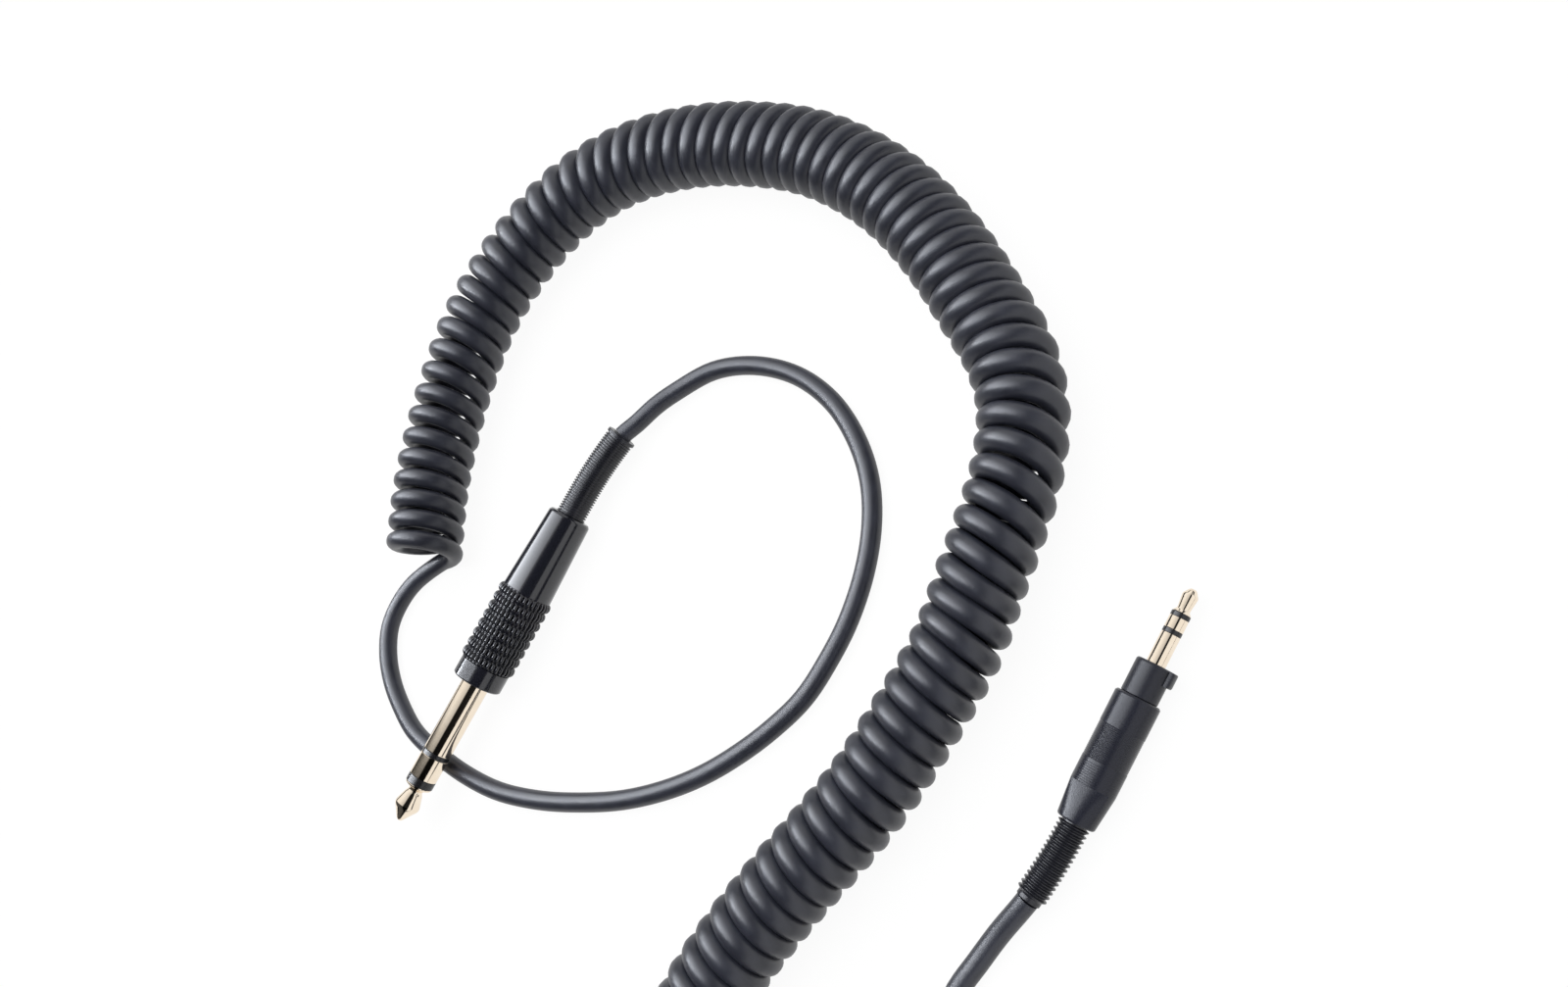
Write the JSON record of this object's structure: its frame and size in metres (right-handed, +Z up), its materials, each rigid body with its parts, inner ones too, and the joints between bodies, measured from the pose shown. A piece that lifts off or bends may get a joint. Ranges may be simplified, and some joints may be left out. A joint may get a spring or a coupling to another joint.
{
  "type": "coiled instrument cable",
  "caption": "Curly black audio cord with a gold stereo plug in a screw-off beaded handle at one end and a small locking stereo plug at the other.",
  "frame": {"origin": "on the table top, midway between the two plugs' outer ends (the centre of their common box)", "axes": "+Z up from the table; +X from the large plug's side to the small plug's side; +Y away from the large plug's tip"},
  "size_m": [0.1919, 0.2194, 0.0176],
  "materials": {
    "gold_plate": "polished pale gold plating",
    "black_insulator": "moulded black insulator, light gloss",
    "fibre": "vulcanised fibre, matte",
    "lug_brass": "stamped brass",
    "handle_black": "black anodised finish, satin",
    "collar_black": "fine bead-blasted black anodised finish",
    "barrel_black": "turned black anodised finish, satin",
    "relief_rubber": "soft black moulding",
    "cord_jacket": "smooth matte black jacket with a blue cast",
    "wire_white": "insulated wire",
    "wire_red": "insulated wire",
    "screen_copper": "bare twisted copper"
  },
  "bodies": {
    "root": {"jack_tip": "gold_plate", "jack_tip_insulator": "black_insulator", "jack_ring": "gold_plate", "jack_ring_insulator": "black_insulator", "jack_sleeve": "gold_plate", "jack_rear_washers": "fibre", "jack_ring_lug": "lug_brass", "jack_tip_lug": "lug_brass", "jack_ground_strap": "lug_brass", "jack_bend_relief": "relief_rubber", "jack_cord_end": "cord_jacket", "jack_tip_wire": "wire_white", "jack_ring_wire": "wire_red", "jack_ground_wire": "screen_copper", "mini_tip": "gold_plate", "mini_tip_insulator": "black_insulator", "mini_ring": "gold_plate", "mini_ring_insulator": "black_insulator", "mini_sleeve": "gold_plate", "mini_rear_washers": "fibre", "mini_ring_lug": "lug_brass", "mini_tip_lug": "lug_brass", "mini_ground_strap": "lug_brass", "mini_lock_collar": "collar_black", "mini_barrel": "barrel_black", "mini_boot": "relief_rubber", "mini_cord_end": "cord_jacket", "mini_tip_wire": "wire_white", "mini_ring_wire": "wire_red", "mini_ground_wire": "screen_copper", "lead_to_jack": "cord_jacket", "curly_cord": "cord_jacket", "lead_to_mini": "cord_jacket"},
    "liner": {"jack_liner": "fibre"},
    "handle": {"jack_handle": "handle_black"}
  },
  "joints": [
    {"name": "handle_slide", "type": "slide", "parent": "root", "child": "liner", "axis": [0.469, 0.8821, -0.0436], "range_m": [0, 0.0045]},
    {"name": "handle_turn", "type": "hinge", "parent": "liner", "child": "handle", "pos_m": [-0.0696, -0.0094, 0.00729], "axis": [0.469, 0.8821, -0.0436], "range_deg": [0, 2160]}
  ],
  "couplings": [
    {"joint": "handle_slide", "follows": "handle_turn", "m_per_rad": 0.00011937}
  ]
}
